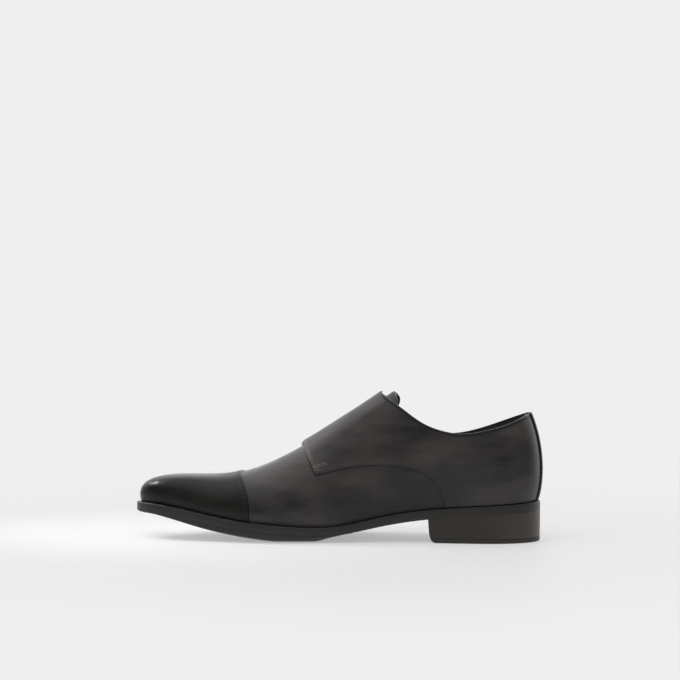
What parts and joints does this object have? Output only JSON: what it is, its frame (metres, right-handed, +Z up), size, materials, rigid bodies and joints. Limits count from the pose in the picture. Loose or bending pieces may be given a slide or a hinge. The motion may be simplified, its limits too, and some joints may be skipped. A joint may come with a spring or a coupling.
{
  "type": "buckle shoe",
  "caption": "Men's black leather double monk-strap dress shoe for the right foot, with a toe cap, low stacked heel and straps buckled on the outer side.",
  "frame": {"origin": "centre of the shoe's footprint box, on the floor under the heel and ball", "axes": "+X from the toe to the heel, +Y towards the outer (lateral, buckle) side, +Z up"},
  "size_m": [0.3049, 0.0989, 0.1097],
  "materials": {
    "upper_leather": "burnished black leather, satin to gloss",
    "lining_leather": "matt black lining leather",
    "sole_edge": "dyed and waxed leather sole edge",
    "tread_rubber": "matt black rubber",
    "heel_stack": "dark stained stacked leather",
    "buckle_metal": "polished nickel"
  },
  "bodies": {
    "root": {"upper": "upper_leather", "toe_cap": "upper_leather", "medial_quarter": "upper_leather", "lateral_quarter": "upper_leather", "back_strip": "upper_leather", "tongue": "lining_leather", "insole": "lining_leather", "midsole": "sole_edge", "outsole": "tread_rubber", "heel_block": "heel_stack", "heel_top_lift": "tread_rubber", "front_buckle_frame": "buckle_metal", "front_buckle_prong": "buckle_metal", "front_buckle_tab": "upper_leather", "rear_buckle_frame": "buckle_metal", "rear_buckle_prong": "buckle_metal", "rear_buckle_tab": "upper_leather"}
  },
  "joints": []
}
